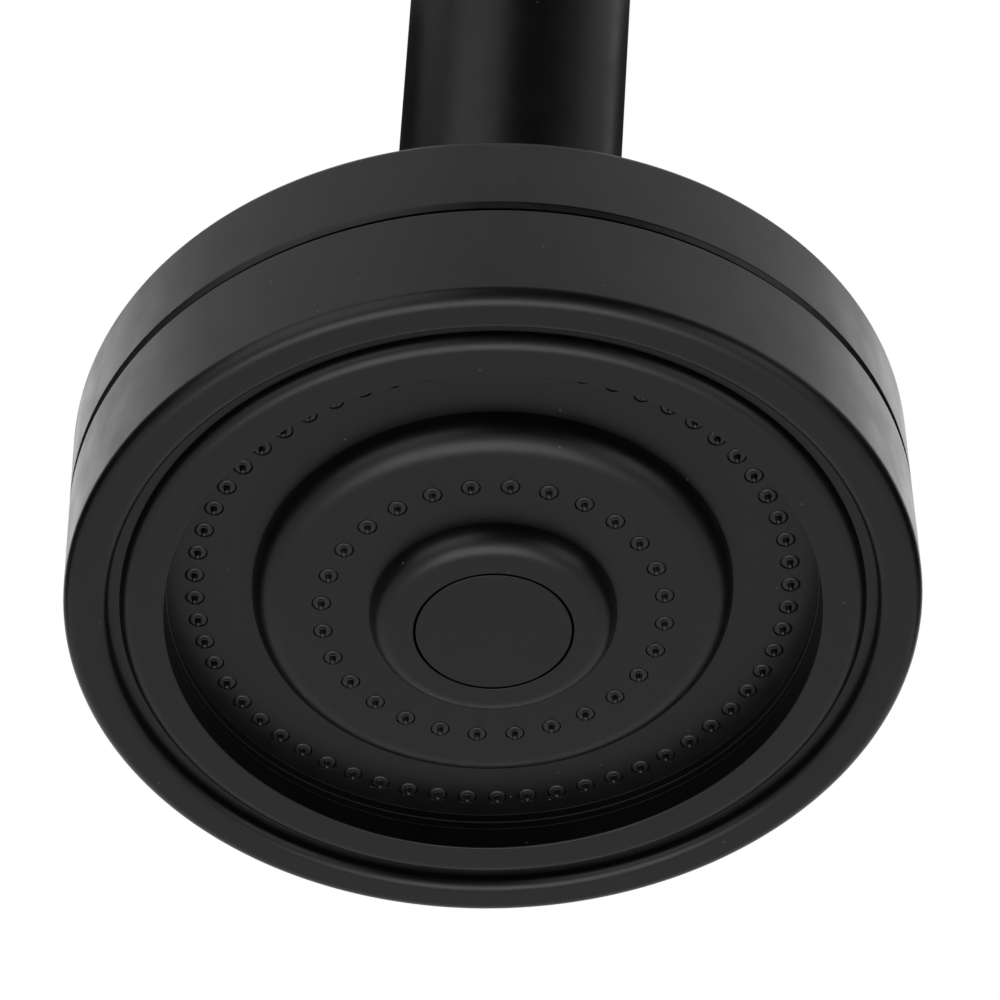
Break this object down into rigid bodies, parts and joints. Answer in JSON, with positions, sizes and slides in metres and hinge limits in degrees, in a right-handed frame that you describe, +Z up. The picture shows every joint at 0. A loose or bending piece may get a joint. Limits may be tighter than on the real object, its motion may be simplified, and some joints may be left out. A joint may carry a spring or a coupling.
{
  "type": "shower head set",
  "caption": "Round drum shower head with two rings of nozzles and a centre button, on a ball joint under a straight ceiling arm.",
  "frame": {"origin": "centre of the ceiling plate's screw circle, on the ceiling plane and on the arm's axis", "axes": "+Z up along the arm into the ceiling; +X along the tilt hinge; the head's face leans towards -Y"},
  "size_m": [0.11, 0.1128, 0.1971],
  "materials": {
    "black_paint": "fine satin black paint",
    "black_plate": "fine satin black",
    "nozzle_rubber": "smooth moulded silicone",
    "seal_rubber": "smooth",
    "inner_plastic": "moulded",
    "seat_plastic": "moulded",
    "limiter_plastic": "moulded",
    "brass": "turned",
    "plated_brass": "plated",
    "steel": "bright"
  },
  "bodies": {
    "arm": {"arm_tube": "black_paint", "arm_end": "black_paint", "inlet_end": "brass", "flow_limiter": "limiter_plastic", "strainer": "steel", "inlet_washer": "seal_rubber", "ceiling_plate": "steel", "clamp_screws": "steel", "rose_seal": "seal_rubber", "rose_face": "black_paint", "cover_rose": "black_paint"},
    "ball": {"ball_stem": "plated_brass", "journal_seal": "seal_rubber", "retaining_ring": "steel"},
    "seats": {"lower_seat": "seat_plastic", "upper_seat": "seat_plastic"},
    "head": {"front_shell": "black_paint", "rear_shell": "black_paint", "groove_ring": "black_paint", "face_ring": "black_paint", "spray_plate": "black_plate", "spray_disc": "black_plate", "outer_nozzles": "nozzle_rubber", "inner_nozzles": "nozzle_rubber", "boss": "black_paint", "button_spring": "steel", "button_guide": "inner_plastic", "stem_seal": "seal_rubber", "flow_plate": "inner_plastic", "cover_gasket": "seal_rubber", "water_cover": "brass", "cover_screws": "steel", "ball_socket": "brass", "collar_nut": "black_paint"},
    "button": {"push_button": "black_paint", "valve_stem": "brass", "valve_washer": "seal_rubber"}
  },
  "joints": [
    {"name": "arm_swivel", "type": "hinge", "parent": "arm", "child": "ball", "pos_m": [0, 0, -0.15], "axis": [0, 0, 1], "continuous": true},
    {"name": "head_tilt", "type": "hinge", "parent": "ball", "child": "seats", "pos_m": [0, 0, -0.15], "axis": [1, 0, 0], "range_deg": [-4.5, 45.5]},
    {"name": "head_turn", "type": "hinge", "parent": "seats", "child": "head", "pos_m": [0, 0, -0.15], "axis": [0, 0.3502, 0.9367], "continuous": true},
    {"name": "button_press", "type": "slide", "parent": "head", "child": "button", "axis": [0, 0.3502, 0.9367], "range_m": [0, 0.002], "stiffness_N_per_m": 400, "springref_m": -0.004, "deforming": ["button_spring"]}
  ]
}
